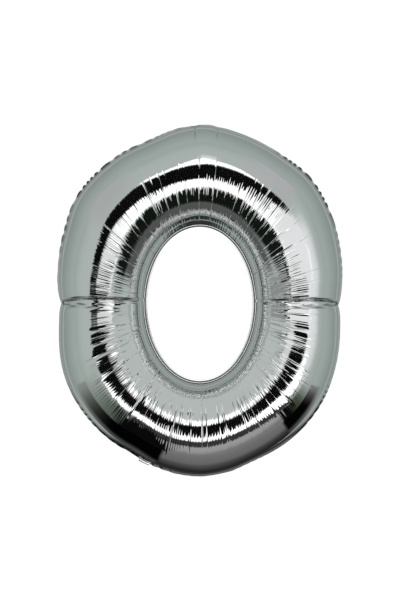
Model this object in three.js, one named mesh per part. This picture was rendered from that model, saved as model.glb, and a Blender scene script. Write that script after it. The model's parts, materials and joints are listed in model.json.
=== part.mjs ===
// Foil number balloon "0", inflated, standing upright and facing -Y.
// Two foil panels are welded round the outside and round the hole. A film valve runs from the
// inflation tail through the outer weld into the tube. Millimetres, +Z up.
import * as THREE from 'three';
import { ParametricGeometry } from 'three/addons/geometries/ParametricGeometry.js';

// Outline of the inflated balloon, out to the edge of the welded rim.
const outlineHalfWidth = 394.5; // before the waist is taken in
const outlineHalfHeight = 432;
const outlineRoundness = 1.87; // 2 is an ellipse, less is nearer a diamond
const waistDepth = 47; // how far the sides pull in at mid-height
const waistSpread = 0.436; // radians over which the waist fades

// Weld line round the hole, an ellipse set a little below the middle of the outline.
const holeHalfWidth = 136;
const holeHalfHeight = 193;
const holeDrop = 8;

// Film, rim and tube.
const rimWidth = 6; // width of both welded rims
const filmThickness = 0.5; // the real film is about 0.05
const stackGap = 0.2; // clearance between layers that are welded together
const sealThickness = 1.4;
const tubeDepthRatio = 0.95; // tube depth over tube width

// Valve and inflation tail.
const valveDirection = THREE.MathUtils.degToRad(251);
const tailWidth = 28;
const tailLength = 75;
const tailValveLength = 60;
const tailSealWidth = 2.7;
const valveWidth = 22;
const valveReach = 150; // from the outer weld into the tube
const valveFilmThickness = 0.3;
const sideWeldWidth = 2.2;
const coatingWidth = 16;
const coatingReach = 60;
const creaseClearance = 1.9; // from the rim's edge to the fold of the tail
const tailRootGap = 0.3;

// Facets.
const ringSteps = 72;
const domeSteps = 10;
const sectionPoints = 2 * (domeSteps + 3);

const rimInnerFace = sealThickness / 2 + stackGap; // distance from the mid plane
const rimOuterFace = rimInnerFace + filmThickness;
const holeCentre = new THREE.Vector2(0, -holeDrop);

const foil = new THREE.MeshStandardMaterial({ color: 0xc9cfcb, roughness: 0.12, metalness: 1 });
const weld = new THREE.MeshStandardMaterial({ color: 0xb9bfbc, roughness: 0.35, metalness: 0.8 });
const clearFilm = new THREE.MeshStandardMaterial({
  color: 0xe6e9e6, roughness: 0.3, metalness: 0, transparent: true, opacity: 0.6,
});
const coatingInk = new THREE.MeshStandardMaterial({ color: 0xd8dcd4, roughness: 0.7, metalness: 0 });

const balloon = new THREE.Group();

// Point on the rim's outer edge, as x and z, at a polar angle about the middle of the outline.
function rimEdge(angle, inset = 0) {
  const across = Math.abs(Math.cos(angle) / outlineHalfWidth) ** outlineRoundness;
  const up = Math.abs(Math.sin(angle) / outlineHalfHeight) ** outlineRoundness;
  const fromSide = Math.asin(Math.abs(Math.sin(angle)));
  const waist = waistDepth * Math.exp(-((fromSide / waistSpread) ** 2));
  const radius = (across + up) ** (-1 / outlineRoundness) - waist - inset;
  return new THREE.Vector2(Math.cos(angle), Math.sin(angle)).multiplyScalar(radius);
}

// Point on the weld line round the hole, at a polar angle about the hole's centre.
function holeWeld(angle, inset = 0) {
  const radius = Math.hypot(Math.cos(angle) / holeHalfWidth, Math.sin(angle) / holeHalfHeight) ** -1;
  const offset = new THREE.Vector2(Math.cos(angle), Math.sin(angle)).multiplyScalar(radius - inset);
  return offset.add(holeCentre);
}

// Closed section of one panel at one angle, as pairs of the distance outwards from the hole's
// weld line and the distance from the mid plane. It runs out along the outside of the film and
// back along the inside.
function panelSection(tubeWidth) {
  const half = tubeWidth / 2;
  const skin = (face, grow) => {
    const points = [[-rimWidth, face], [-grow, face]];
    for (let step = 1; step < domeSteps; step += 1) {
      const turn = (Math.PI * step) / domeSteps;
      const along = half - (half + grow) * Math.cos(turn);
      const depth = rimInnerFace + (half * tubeDepthRatio + grow) * Math.sin(turn);
      points.push([along, depth]);
    }
    points.push([tubeWidth + grow, face], [tubeWidth + rimWidth, face]);
    return points;
  };
  return [...skin(rimOuterFace, filmThickness), ...skin(rimInnerFace, 0).reverse()];
}

// One foil panel, swept round the hole. side is -1 for the front and 1 for the back.
function panelGeometry(side) {
  const surface = (u, v, target) => {
    const angle = side * 2 * Math.PI * (u % 1);
    const inner = holeWeld(angle);
    const outer = rimEdge(angle, rimWidth);
    const outward = outer.clone().sub(inner);
    const tubeWidth = outward.length();
    outward.normalize();
    const index = Math.round(v * sectionPoints) % sectionPoints;
    const [along, depth] = panelSection(tubeWidth)[index];
    const flat = inner.clone().addScaledVector(outward, along);
    target.set(flat.x, side * depth, flat.y);
  };
  return new ParametricGeometry(surface, ringSteps, sectionPoints);
}

// A flat piece with its outline in the XZ plane, centred on the mid plane.
function flatPiece(shape, thickness) {
  const geometry = new THREE.ExtrudeGeometry(shape, { depth: thickness, bevelEnabled: false });
  geometry.translate(0, 0, -thickness / 2);
  geometry.rotateX(Math.PI / 2);
  return geometry;
}

// Weld between the two rims round the outside, left open where the valve comes through.
function outerSealShape() {
  const openAngle = (tailWidth / 2 + 1) / rimEdge(valveDirection).length();
  const span = 2 * Math.PI - 2 * openAngle;
  const angles = Array.from({ length: 2 * ringSteps + 1 }, (_, step) => (
    valveDirection + openAngle + (span * step) / (2 * ringSteps)
  ));
  const outside = angles.map((angle) => rimEdge(angle, 1));
  const inside = angles.map((angle) => rimEdge(angle, rimWidth - 1)).reverse();
  return new THREE.Shape([...outside, ...inside]);
}

// Weld between the two rims round the hole.
function innerSealShape() {
  const angles = Array.from({ length: ringSteps }, (_, step) => (2 * Math.PI * step) / ringSteps);
  const shape = new THREE.Shape(angles.map((angle) => holeWeld(angle, 1)));
  shape.holes.push(new THREE.Path(angles.map((angle) => holeWeld(angle, rimWidth - 1))));
  return shape;
}

function addPiece(parent, name, geometry, material) {
  const mesh = new THREE.Mesh(geometry, material);
  mesh.name = name;
  parent.add(mesh);
  return mesh;
}

// A strip in a valve or tail frame: x across it, y along it away from the balloon,
// and z through its thickness, with the front face towards +z.
function addStrip(parent, name, material, { across, along, through }) {
  const size = [across, along, through].map(([low, high]) => high - low);
  const middle = [across, along, through].map(([low, high]) => (high + low) / 2);
  const strip = addPiece(parent, name, new THREE.BoxGeometry(...size), material);
  strip.position.set(...middle);
}

// Frame at a point of the outer rim: y points outwards, z to the front (-Y).
function rimFrame(distanceBeyondEdge) {
  const before = rimEdge(valveDirection - 0.01);
  const after = rimEdge(valveDirection + 0.01);
  const tangent = after.sub(before).normalize();
  const outward = new THREE.Vector2(tangent.y, -tangent.x);
  const place = rimEdge(valveDirection).addScaledVector(outward, distanceBeyondEdge);
  const frame = new THREE.Group();
  frame.position.set(place.x, 0, place.y);
  const axisX = new THREE.Vector3(-tangent.x, 0, -tangent.y);
  const axisY = new THREE.Vector3(outward.x, 0, outward.y);
  const axisZ = new THREE.Vector3().crossVectors(axisX, axisY);
  frame.quaternion.setFromRotationMatrix(new THREE.Matrix4().makeBasis(axisX, axisY, axisZ));
  return frame;
}

// The film valve inside the balloon: two films welded along both sides, with a release
// coating between them where they pass through the outer weld.
function addValve(parent) {
  const frame = rimFrame(0);
  parent.add(frame);
  const innerEnd = -rimWidth - valveReach;
  const half = valveWidth / 2;
  const filmInner = sealThickness / 2 - valveFilmThickness;
  const gapHalf = filmInner - stackGap;
  const length = [innerEnd, -0.2];
  addStrip(frame, 'valve_film_front', clearFilm, {
    across: [-half, half], along: length, through: [filmInner, sealThickness / 2],
  });
  addStrip(frame, 'valve_film_back', clearFilm, {
    across: [-half, half], along: length, through: [-sealThickness / 2, -filmInner],
  });
  addStrip(frame, 'valve_side_weld_left', weld, {
    across: [-half, -half + sideWeldWidth], along: length, through: [-gapHalf, gapHalf],
  });
  addStrip(frame, 'valve_side_weld_right', weld, {
    across: [half - sideWeldWidth, half], along: length, through: [-gapHalf, gapHalf],
  });
  addStrip(frame, 'valve_release_coating', coatingInk, {
    across: [-coatingWidth / 2, coatingWidth / 2], along: [-coatingReach, -0.2],
    through: [-gapHalf, gapHalf],
  });
}

// The inflation tail, folded straight back about the crease at the rim's edge.
function addTail(parent) {
  const crease = rimFrame(creaseClearance);
  const fold = new THREE.Group();
  fold.rotation.x = -Math.PI / 2;
  crease.add(fold);
  parent.add(crease);
  const half = tailWidth / 2;
  const filmInner = sealThickness / 2 - valveFilmThickness;
  const foilLength = [tailRootGap, tailLength];
  const filmLength = [tailRootGap, tailValveLength];
  addStrip(fold, 'tail_foil_front', foil, {
    across: [-half, half], along: foilLength, through: [rimInnerFace, rimOuterFace],
  });
  addStrip(fold, 'tail_foil_back', foil, {
    across: [-half, half], along: foilLength, through: [-rimOuterFace, -rimInnerFace],
  });
  addStrip(fold, 'tail_side_seal_left', weld, {
    across: [-half, -half + tailSealWidth], along: foilLength,
    through: [-sealThickness / 2, sealThickness / 2],
  });
  addStrip(fold, 'tail_side_seal_right', weld, {
    across: [half - tailSealWidth, half], along: foilLength,
    through: [-sealThickness / 2, sealThickness / 2],
  });
  addStrip(fold, 'tail_valve_film_front', clearFilm, {
    across: [-valveWidth / 2, valveWidth / 2], along: filmLength,
    through: [filmInner, sealThickness / 2],
  });
  addStrip(fold, 'tail_valve_film_back', clearFilm, {
    across: [-valveWidth / 2, valveWidth / 2], along: filmLength,
    through: [-sealThickness / 2, -filmInner],
  });
}

const body = new THREE.Group();
addPiece(body, 'front_panel', panelGeometry(-1), foil);
addPiece(body, 'back_panel', panelGeometry(1), foil);
addPiece(body, 'outer_heat_seal', flatPiece(outerSealShape(), sealThickness), weld);
addPiece(body, 'inner_heat_seal', flatPiece(innerSealShape(), sealThickness), weld);
addValve(body);
addTail(body);

// The origin is under the middle of the balloon, level with its lowest point.
const bounds = new THREE.Box3().setFromObject(body);
const middle = bounds.getCenter(new THREE.Vector3());
body.position.set(-middle.x, -middle.y, -bounds.min.z);
balloon.add(body);

export default balloon;
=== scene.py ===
import json
import math
import bpy
import numpy as np
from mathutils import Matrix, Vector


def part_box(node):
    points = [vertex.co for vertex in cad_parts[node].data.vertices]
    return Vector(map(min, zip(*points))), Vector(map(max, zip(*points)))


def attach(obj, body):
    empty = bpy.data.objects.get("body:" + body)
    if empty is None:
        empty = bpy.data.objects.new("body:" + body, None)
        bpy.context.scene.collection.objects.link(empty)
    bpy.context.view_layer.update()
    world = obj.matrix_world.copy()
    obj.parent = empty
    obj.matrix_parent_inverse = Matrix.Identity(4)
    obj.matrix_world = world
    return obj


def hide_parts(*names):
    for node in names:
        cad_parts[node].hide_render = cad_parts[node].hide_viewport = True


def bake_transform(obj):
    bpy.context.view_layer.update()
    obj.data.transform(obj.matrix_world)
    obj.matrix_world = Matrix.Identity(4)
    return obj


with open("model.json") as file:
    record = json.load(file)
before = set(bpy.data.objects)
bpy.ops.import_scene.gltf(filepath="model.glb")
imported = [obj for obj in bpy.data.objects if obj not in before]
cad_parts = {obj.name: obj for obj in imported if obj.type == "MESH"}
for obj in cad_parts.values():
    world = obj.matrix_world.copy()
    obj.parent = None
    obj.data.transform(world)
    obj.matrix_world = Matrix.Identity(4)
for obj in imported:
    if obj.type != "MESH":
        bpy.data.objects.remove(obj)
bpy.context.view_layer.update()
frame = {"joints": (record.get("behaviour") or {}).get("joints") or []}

# Silver foil digit balloon: fine foil surfaces laid over the CAD frame.
balloonBody = "balloon"
rimLow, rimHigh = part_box("front_panel")
middleX = (rimLow[0] + rimHigh[0]) / 2
middleZ = (rimLow[2] + rimHigh[2]) / 2
halfHeight = (rimHigh[2] - rimLow[2]) / 2
hinge = [joint for joint in frame["joints"] if joint["name"] == "tail_fold"][0]
foldPoint = np.array(hinge["pos_m"])
tailAcross = -np.array(hinge["axis"])  # along the crease
tailOutward = np.array([tailAcross[2], 0, -tailAcross[0]])  # out from the rim, in its plane

# The digit's shape. Lengths are metres, and angles are degrees round it from the right side.
digit = {
    "outlineHalfWidth": 0.3945,   # before the waist is taken in
    "outlineRoundness": 1.87,     # 2 is an ellipse, less is nearer a diamond
    "waistDepth": 0.047,
    "waistSpread": 25.0,
    "holeHalfWidth": 0.136,
    "holeHalfHeight": 0.193,
    "holeDrop": 0.008,            # hole's centre below the outline's
    "rimWidth": 0.006,
    "tubeDepthRatio": 0.95,
    "filmGap": 0.00025,           # each film from the mid plane of the rims
    "valveAngle": 251.0,
    "aroundLength": 1.75,         # metres round the ring, for the UV maps
}

# Where the outline stands proud (+) or falls in (-): angle, spread, height.
outlineSwells = [
    (48, 9, 0.0060), (88, 7, 0.0050), (108, 8, -0.0060), (138, 9, 0.0035),
    (152, 6, -0.0030), (172, 7, 0.0045), (10, 9, 0.0045), (246, 6, -0.0045),
    (270, 8, 0.0025), (288, 9, -0.0045), (332, 14, -0.0050),
]
# Nicks (-) and small bumps (+) of the outer weld, at creases and the valve: angle, spread, height.
outlineNicks = [
    (181, 2.0, -0.0060), (358, 2.2, -0.0055), (91.6, 2.2, -0.0035), (84, 1.8, -0.0022),
    (262, 4, 0.0015), (281, 4, 0.0020),
]


def smooth(low, high, value):
    # 0 below low, 1 above high, an S curve between them
    share = np.clip((value - low) / (high - low), 0, 1)
    return share * share * (3 - 2 * share)


def angleFrom(degrees, centre):
    # signed difference in degrees, from -180 to 180
    return (degrees - centre + 180) % 360 - 180


def ripple(degrees, seed, lowest, highest, slope=0.5):
    # Sum of whole waves round the ring with fixed random phases, scaled to a spread of 1.
    rng = np.random.default_rng(seed)
    waves = np.arange(lowest, highest + 1)
    heights = rng.normal(size=waves.size) / waves ** slope
    phases = rng.uniform(0, 2 * np.pi, waves.size)
    turns = np.radians(degrees).reshape(-1, 1) * waves
    total = np.sin(turns + phases) @ heights
    return (total / np.sqrt((heights ** 2).sum() / 2)).reshape(np.shape(degrees))


def rimRadius(degrees):
    # Superellipse less a waist at mid-height, plus the swells.
    turn = np.radians(degrees)
    power = digit["outlineRoundness"]
    across = np.abs(np.cos(turn) / digit["outlineHalfWidth"]) ** power
    up = np.abs(np.sin(turn) / halfHeight) ** power
    fromSide = np.degrees(np.arcsin(np.clip(np.abs(np.sin(turn)), 0, 1)))
    radius = (across + up) ** (-1 / power)
    radius = radius - digit["waistDepth"] * np.exp(-(fromSide / digit["waistSpread"]) ** 2)
    for centre, spread, height in outlineSwells:
        radius = radius + height * np.exp(-(angleFrom(degrees, centre) / spread) ** 2)
    return radius


def ovalRadius(degrees, wide, high):
    # Ellipse of these half sizes, as a radius from its centre at each angle.
    turn = np.radians(degrees)
    return ((np.cos(turn) / wide) ** 2 + (np.sin(turn) / high) ** 2) ** -0.5


puckers = {
    "lobes": 92,                  # round the outer weld
    "reach": 0.009,               # how far a pucker runs in from the weld
    "depth": 0.0022,
    "scallop": 0.0034,            # the outline's rise between two puckers
    "scallopReach": 0.010,        # and how far in from the weld it dies away
    "foldShade": 0.85,             # painted shade in the fold beside each rim
    "foldShadeWidth": 0.0009,
    "crestShade": 0.93,            # painted shadow on the rim at a lobe's crest
    "rimLean": 0.0042,            # how far the edge of the rim leans back
    "leanCurve": 1.3,
    "valveSpread": 4.2,           # degrees each side of the valve where it lies flat
    "sway": 0.0012,               # the weld line's wander to front and back
    "swayReach": 0.02,
    "fillet": 0.0008,             # the films meet in a small curve of this radius
    "least": 0.04,                # strength between the zones
    "zones": [(122, 32, 1.0), (45, 22, 1.0), (160, 14, 0.5), (20, 12, 0.5), (232, 18, 0.45),
              (300, 30, 0.25), (250, 10, 0.5)],  # angle, spread, strength
    "smoothZone": (76, 13, 0.85),
}
wrinkles = {
    "count": 310,                 # waves round the ring over the crown
    "innerCount": 150,            # and beside the hole, where they have merged
    "innerShare": 0.8,
    "steepness": 0.034,           # height over spacing
    "overtone": 0.35,             # a second wave at half the spacing
    "calmZones": [(192, 20), (348, 20)],  # beside the waist
    "calm": 0.78,
    "fadeStart": 99.0,            # degrees round the tube from the hole's weld
    "fadeTilt": 11.5,             # earlier by this at the top, later at the bottom
    "fadeLength": 9.0,
    "creases": 112,
    "creaseDepth": 0.0010,
    "creaseHalfWidth": 0.0012,
    "folds": 46,
    "foldSlope": 0.50,
    "foldHalfWidth": 0.0028,
    "quietZone": (112, 60),       # angle and spread where folds are small
    "boldZones": [(210, 28), (330, 28)],  # and where they are large
}
# Creases across the tube. Angle is where one meets the outer weld, drift how far it has moved
# by the hole, and zigzag its wander. It begins start degrees round the tube from the hole and
# grows over fade degrees. The last value is the painted shade along its bottom.
crossCreases = [
    {"angle": 91.6, "drift": 0.5, "zigzag": 0.0, "depth": 0.0030, "halfWidth": 0.0015,
     "start": 126, "fade": 20, "paintedDarkness": 0.45},
    {"angle": 84.0, "drift": 0.2, "zigzag": 0.0, "depth": 0.0024, "halfWidth": 0.0015,
     "start": 130, "fade": 20, "paintedDarkness": 0.4},
    {"angle": 180.8, "drift": -6.5, "zigzag": 0.15, "depth": 0.0052, "halfWidth": 0.0024,
     "start": 25, "fade": 25, "paintedDarkness": 0.95},
    {"angle": 181.2, "drift": 2.0, "zigzag": 0.9, "depth": 0.0040, "halfWidth": 0.0026,
     "start": 70, "fade": 20, "paintedDarkness": 0.6},
    {"angle": 358.8, "drift": 6.0, "zigzag": 0.2, "depth": 0.0048, "halfWidth": 0.0024,
     "start": 35, "fade": 25, "paintedDarkness": 0.9},
    {"angle": 358.4, "drift": -1.5, "zigzag": 0.8, "depth": 0.0038, "halfWidth": 0.0026,
     "start": 75, "fade": 20, "paintedDarkness": 0.6},
]
# Pleats at the waist: the film drops at one edge and climbs back over the width, in degrees.
# Start and end are degrees round the tube.
waistPleats = [
    {"angle": 180.8, "drift": -6.5, "width": 4.6, "depth": 0.0075, "start": 15, "end": 176},
    {"angle": 358.8, "drift": 6.0, "width": -4.4, "depth": 0.0070, "start": 15, "end": 176},
]
creaseRun = 182  # degrees round the tube over which a crease drifts


def lobeWave(degrees):
    # Rounded lobes with sharp valleys, unevenly spaced: 0 in a valley, 1 on a crest.
    phase = np.radians(degrees) * puckers["lobes"] / 2 + 2.2 * ripple(degrees, 11, 3, 26)
    return np.abs(np.sin(phase))


def puckerStrength(degrees):
    total = puckers["least"] + 0 * degrees
    for centre, spread, strength in puckers["zones"]:
        total = total + strength * np.exp(-(angleFrom(degrees, centre) / spread) ** 2)
    centre, spread, loss = puckers["smoothZone"]  # the weld lies smooth right of the top
    gap = np.exp(-(angleFrom(degrees, centre) / spread) ** 4)
    return total * (1 - loss * gap) * (0.75 + 0.25 * ripple(degrees, 12, 4, 18))


def waistPleatHeight(degrees, tubeTurn, pleat):
    # Saw tooth across the pleat: deepest just inside one edge, back to zero at the other.
    share = (tubeTurn - 90) / 90
    centre = pleat["angle"] + pleat["drift"] * (1 - share) / 2
    centre = centre + 0.25 * np.sin(tubeTurn / 9.0) * smooth(150, 60, tubeTurn)
    across = angleFrom(degrees, centre) / pleat["width"]
    drop = smooth(-0.05, 0.04, across) * (1 - np.clip(across, 0, 1)) * (across < 1)
    start, end = pleat["start"], pleat["end"]
    along = smooth(start, start + 25, tubeTurn) * smooth(end, end - 25, tubeTurn)
    return -pleat["depth"] * drop * (0.35 + 0.65 * along)


def crossCrease(degrees, tubeTurn, radius, crease):
    # Narrow valley whose centre drifts and wanders as it crosses the tube. Gives its height
    # and the painted shade along its bottom.
    share = (creaseRun - tubeTurn) / creaseRun
    wander = crease["zigzag"] * np.sin(tubeTurn / 5.1) * smooth(165, 120, tubeTurn)
    centre = crease["angle"] + crease["drift"] * share + wander
    away = np.abs(np.radians(angleFrom(degrees, centre)) * radius / crease["halfWidth"])
    along = smooth(crease["start"], crease["start"] + crease["fade"], tubeTurn)
    paintedDarkness = crease["paintedDarkness"] * np.exp(-(1.5 * away) ** 2) * along
    return -crease["depth"] * np.exp(-away ** 1.5) * along, paintedDarkness


def bell(degrees, zones, power=2):
    # Sum of smooth humps, each given by its angle and spread.
    return sum(np.exp(-(angleFrom(degrees, centre) / spread) ** power) for centre, spread in zones)


def scatter(rng, count, unevenness):
    # Angles spread round the ring, each moved off its even place by a random part of a step.
    return (np.arange(count) + rng.uniform(-unevenness, unevenness, count)) * 360 / count


def wrinkleHeight(degrees, tubeTurn, radius, seed):
    # Fine waves round the ring whose height follows their spacing, fading past the crown, plus
    # narrow creases (bell curves) and single tilted folds (a distance times a bell curve).
    w = wrinkles
    girth = 2 * np.pi * radius
    crown = smooth(62, 86, tubeTurn)
    drift = 5 * ripple(degrees, seed, 3, 60, 1.0)
    waves = 0 * girth
    for count, share in ((w["count"], crown), (w["innerCount"], w["innerShare"] * (1 - crown))):
        phase = np.radians(degrees) * count + drift
        wave = np.sin(phase) + w["overtone"] * np.sin(2 * phase + 1.1)
        waves = waves + wave * share * girth / count
    waves = waves * (1 - w["calm"] * bell(degrees, w["calmZones"]))
    uneven = np.clip(1 + 0.16 * ripple(degrees, seed + 1, 8, 90), 0.5, 1.5)
    end = w["fadeStart"] - w["fadeTilt"] * np.sin(np.radians(degrees))
    end = end + 2.2 * ripple(degrees, seed + 2, 20, 170, 0.1)
    fade = smooth(0, w["fadeLength"], end + 5 - tubeTurn)
    height = w["steepness"] * waves * uneven * fade

    rng = np.random.default_rng(seed + 3)
    count = w["creases"]
    places = scatter(rng, count, 0.38)
    depths = w["creaseDepth"] * rng.uniform(0.15, 1.0, count) ** 1.3 * rng.choice([1, -0.8], count)
    ends = w["fadeStart"] + rng.uniform(-6, 34, count)
    starts = rng.uniform(2, 30, count)
    away = np.radians(angleFrom(degrees, places)) * radius.mean() / w["creaseHalfWidth"]
    alongs = smooth(0, 12, tubeTurn.T - starts) * smooth(0, 18, ends - tubeTurn.T)
    height = height - (np.exp(-away ** 2) * depths) @ alongs.T

    count = w["folds"]
    places = scatter(rng, count, 0.42)
    quiet = bell(places, [w["quietZone"]], 4)
    bold = bell(places, w["boldZones"])
    slopes = w["foldSlope"] * (rng.uniform(0.35, 1.0, count) + 0.4 * bold) * (1 - 0.6 * quiet)
    slopes = slopes * rng.choice([1, -1], count)
    widths = w["foldHalfWidth"] * rng.uniform(0.6, 1.3, count) * (1.1 - 0.3 * quiet + 1.3 * bold)
    ends = w["fadeStart"] - w["fadeTilt"] * np.sin(np.radians(places)) + rng.uniform(2, 16, count)
    starts = rng.uniform(2, 50, count)
    away = np.radians(angleFrom(degrees, places)) * radius.mean() / widths
    alongs = smooth(0, 14, tubeTurn.T - starts) * smooth(0, 20, ends - tubeTurn.T)
    return height + (away * np.exp(-away ** 2) * slopes * widths) @ alongs.T


def tubeRipples(degrees, tubeTurn):
    # Long soft ripples running with the tube, strongest along the bottom.
    wave = np.sin(tubeTurn / 3.4 + 1.3 * ripple(degrees, 31, 2, 9))
    wave = wave + 0.6 * np.sin(tubeTurn / 1.9 + 2.0)
    band = smooth(108, 130, tubeTurn) * smooth(176, 165, tubeTurn)
    return 0.00022 * bell(degrees, [(272, 34)]) * wave * band


def softBumps(degrees, tubeTurn, seed):
    # Broad shallow dents that keep long reflections from running true.
    wave = ripple(degrees, seed, 4, 13) * np.sin(np.radians(tubeTurn * 1.4 + 20))
    wave = wave + 0.4 * ripple(degrees, seed + 1, 9, 24) * np.sin(np.radians(tubeTurn * 2.1 + 70))
    return 0.0005 * wave * smooth(0, 40, tubeTurn) * smooth(180, 150, tubeTurn)


def edgeShift(degrees, beyond, fromWeld):
    # How far the mid surface of the film's edge lies back from the mid plane: the weld line's
    # sway, dying away inwards, and the rim's lean. The rim curls back all round, less on the
    # crests of the lobes, and lies flat at the valve.
    crest = smooth(0.2, 0.9, lobeWave(degrees)) * np.clip(puckerStrength(degrees), 0, 1)
    free = 1 - bell(degrees, [(digit["valveAngle"], puckers["valveSpread"])], 4)
    lean = puckers["rimLean"] * (1 - 0.75 * crest) * free
    sway = puckers["sway"] * ripple(degrees, 14, 6, 30) * (0.3 + puckerStrength(degrees)) * free
    outward = np.clip(beyond / digit["rimWidth"], 0, 1) ** puckers["leanCurve"]
    return sway * np.exp(-fromWeld / puckers["swayReach"]) + lean * outward


def rimShift(degrees, beyond):
    # The same for a point so many metres beyond the weld line, or within it if below zero.
    return edgeShift(degrees, beyond, np.maximum(-beyond, 0))


def scallopAt(degrees):
    # How far the outer weld stands out (+) or in (-) between puckers and at the nicks.
    total = puckers["scallop"] * puckerStrength(degrees) * (lobeWave(degrees) - 0.6)
    for centre, spread, height in outlineNicks:
        total = total + height * np.exp(-np.abs(angleFrom(degrees, centre) / spread) ** 1.3)
    return total


def filletDepth(beyond, tubeTurn):
    # Half gap between the two films near the outer weld: a quarter circle past the weld line,
    # reached smoothly over the last part of the tube.
    inside = np.clip(1 - beyond / puckers["fillet"], 0, 1)
    curve = 1 - np.sqrt(np.maximum(1 - inside ** 2, 0))
    return puckers["fillet"] * curve * smooth(150, 180, tubeTurn)


def weldLines(degrees):
    # At each angle: where the hole's weld is, from the digit's middle, the step from there to
    # the outer weld, and that step's length.
    cosTurn, sinTurn = np.cos(np.radians(degrees)), np.sin(np.radians(degrees))
    hole = ovalRadius(degrees, digit["holeHalfWidth"], digit["holeHalfHeight"])
    weld = rimRadius(degrees) - digit["rimWidth"]
    innerX, innerZ = hole * cosTurn, hole * sinTurn - digit["holeDrop"]
    stepX, stepZ = weld * cosTurn - innerX, weld * sinTurn - innerZ
    return innerX, innerZ, stepX, stepZ, np.hypot(stepX, stepZ)


def ringSurface(degrees, along, out, shift=0.0):
    # Puts points between the two weld lines: along is metres out from the hole's weld on the
    # straight line to the outer weld, out is metres towards the front, and shift metres back.
    innerX, innerZ, stepX, stepZ, width = weldLines(degrees)
    x = middleX + innerX + along * stepX / width
    z = middleZ + innerZ + along * stepZ / width
    return np.stack(np.broadcast_arrays(x, shift - out, z), -1)


def tubeWidth(degrees):
    return weldLines(degrees)[-1]


panel = {
    "columns": 2800,                      # round the ring
    "domeRows": 28,                       # across the tube
    "crowding": 0.055,                    # brings the rows closer at the welds
    "holeRim": [1.0, 0.64, 0.40],         # rows on each rim, as shares of its width
    "outerRim": [0.09, 0.20, 0.42, 1.0],
    "holeFoldShadeAt": [-0.006, -0.0038, -0.0024, 0],  # the hole's fold: metres past its weld and the painted shade there
    "holeFoldShade": [0.6, 0.0, 1.0, 1.0],             # and how dark it is there
    "arcRadius": 0.105,                   # turns degrees round the tube into metres of UV map
}


def paintedFilmShade(degrees, tubeTurn, beyond, paintedShade):
    # Painted shade on the film, 0 to 1: along its creases, in the fold beside each rim, and as
    # painted shadow on the outer rim at the crest of each lobe.
    foldShadeLine = np.exp(-(beyond / puckers["foldShadeWidth"]) ** 2) * (tubeTurn > 179) * (beyond >= 0)
    holeFoldShade = (tubeTurn < 1) * np.interp(beyond, panel["holeFoldShadeAt"], panel["holeFoldShade"])
    paintedDarkness = np.maximum(paintedShade, puckers["foldShade"] * np.maximum(foldShadeLine, holeFoldShade))
    crestShadow = smooth(0.35, 0.75, lobeWave(degrees))
    crestShadow = crestShadow * np.clip(1.8 * (puckerStrength(degrees) - 0.2), 0, 1)
    return np.maximum(paintedDarkness, puckers["crestShade"] * crestShadow * smooth(0.0004, 0.0020, beyond))


def panelPoints(side, seed):
    # Half an ellipse between the weld lines, with a flat rim on each side, swept round the
    # ring, then pushed along its own normal by the heights of the wrinkles and creases.
    degrees = np.arange(panel["columns"]).reshape(-1, 1) * 360 / panel["columns"]
    share = np.linspace(0, 1, panel["domeRows"] + 1)
    domeRound = 180 * (share - panel["crowding"] * np.sin(2 * np.pi * share))
    holeRim = -digit["rimWidth"] * np.array(panel["holeRim"])
    outerRim = digit["rimWidth"] * np.array(panel["outerRim"])
    tubeTurn = np.concatenate([0 * holeRim, domeRound, 180 + 0 * outerRim]).reshape(1, -1)
    beyond = np.concatenate([holeRim, 0 * domeRound, outerRim]).reshape(1, -1)

    half = tubeWidth(degrees) / 2
    turn = np.radians(tubeTurn)
    along = half * (1 - np.cos(turn)) + beyond
    depth = half * digit["tubeDepthRatio"] * np.sin(turn) + digit["filmGap"]
    fromWeld = np.maximum(half * np.radians(180 - tubeTurn), 0)
    along = along + scallopAt(degrees) * np.exp(-fromWeld / puckers["scallopReach"])
    depth = depth + filletDepth(np.maximum(beyond, 0), tubeTurn)
    points = ringSurface(degrees, along, side * depth, edgeShift(degrees, beyond, fromWeld))

    radius = np.hypot(points[..., 0] - middleX, points[..., 2] - middleZ)
    height = wrinkleHeight(degrees, tubeTurn, radius, seed)
    height = height + softBumps(degrees, tubeTurn, seed + 20) + tubeRipples(degrees, tubeTurn)
    for pleat in waistPleats:
        height = height + waistPleatHeight(degrees, tubeTurn, pleat)
    # Painted shade along the bottom of each crease, for the foil's colour.
    paintedShade = 0 * height
    for crease in crossCreases:
        creaseHeight, paintedShadeMark = crossCrease(degrees, tubeTurn, radius, crease)
        height, paintedShade = height + creaseHeight, np.maximum(paintedShade, paintedShadeMark)
    valley = (1 - lobeWave(degrees)) ** 3 * np.exp(-fromWeld / puckers["reach"])
    height = height - puckers["depth"] * puckerStrength(degrees) * valley
    height = height * smooth(0, 7, tubeTurn) * smooth(180, 176, tubeTurn)

    stepRound = np.roll(points, -1, 0) - np.roll(points, 1, 0)
    normal = np.cross(stepRound, np.gradient(points, axis=1))
    normal = normal / np.linalg.norm(normal, axis=-1, keepdims=True)
    outward = np.sign((normal[..., 1] * -side).sum())
    points = points + outward * normal * height[..., None]
    return points, tubeTurn, beyond, paintedFilmShade(degrees, tubeTurn, beyond, paintedShade)


def gridFaces(lines, points, order=(0, 1, 2, 3), closed=False):
    # Faces of a grid held line after line, and each corner's line and point number. A closed
    # grid joins its last line to its first. Order is the way round each face.
    line, point = np.meshgrid(np.arange(lines if closed else lines - 1), np.arange(points - 1),
                              indexing="ij")
    line = np.stack([line, line + 1, line + 1, line], -1).reshape(-1, 4)[:, order]
    point = np.stack([point, point, point + 1, point + 1], -1).reshape(-1, 4)[:, order]
    return line % lines * points + point, line, point


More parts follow.
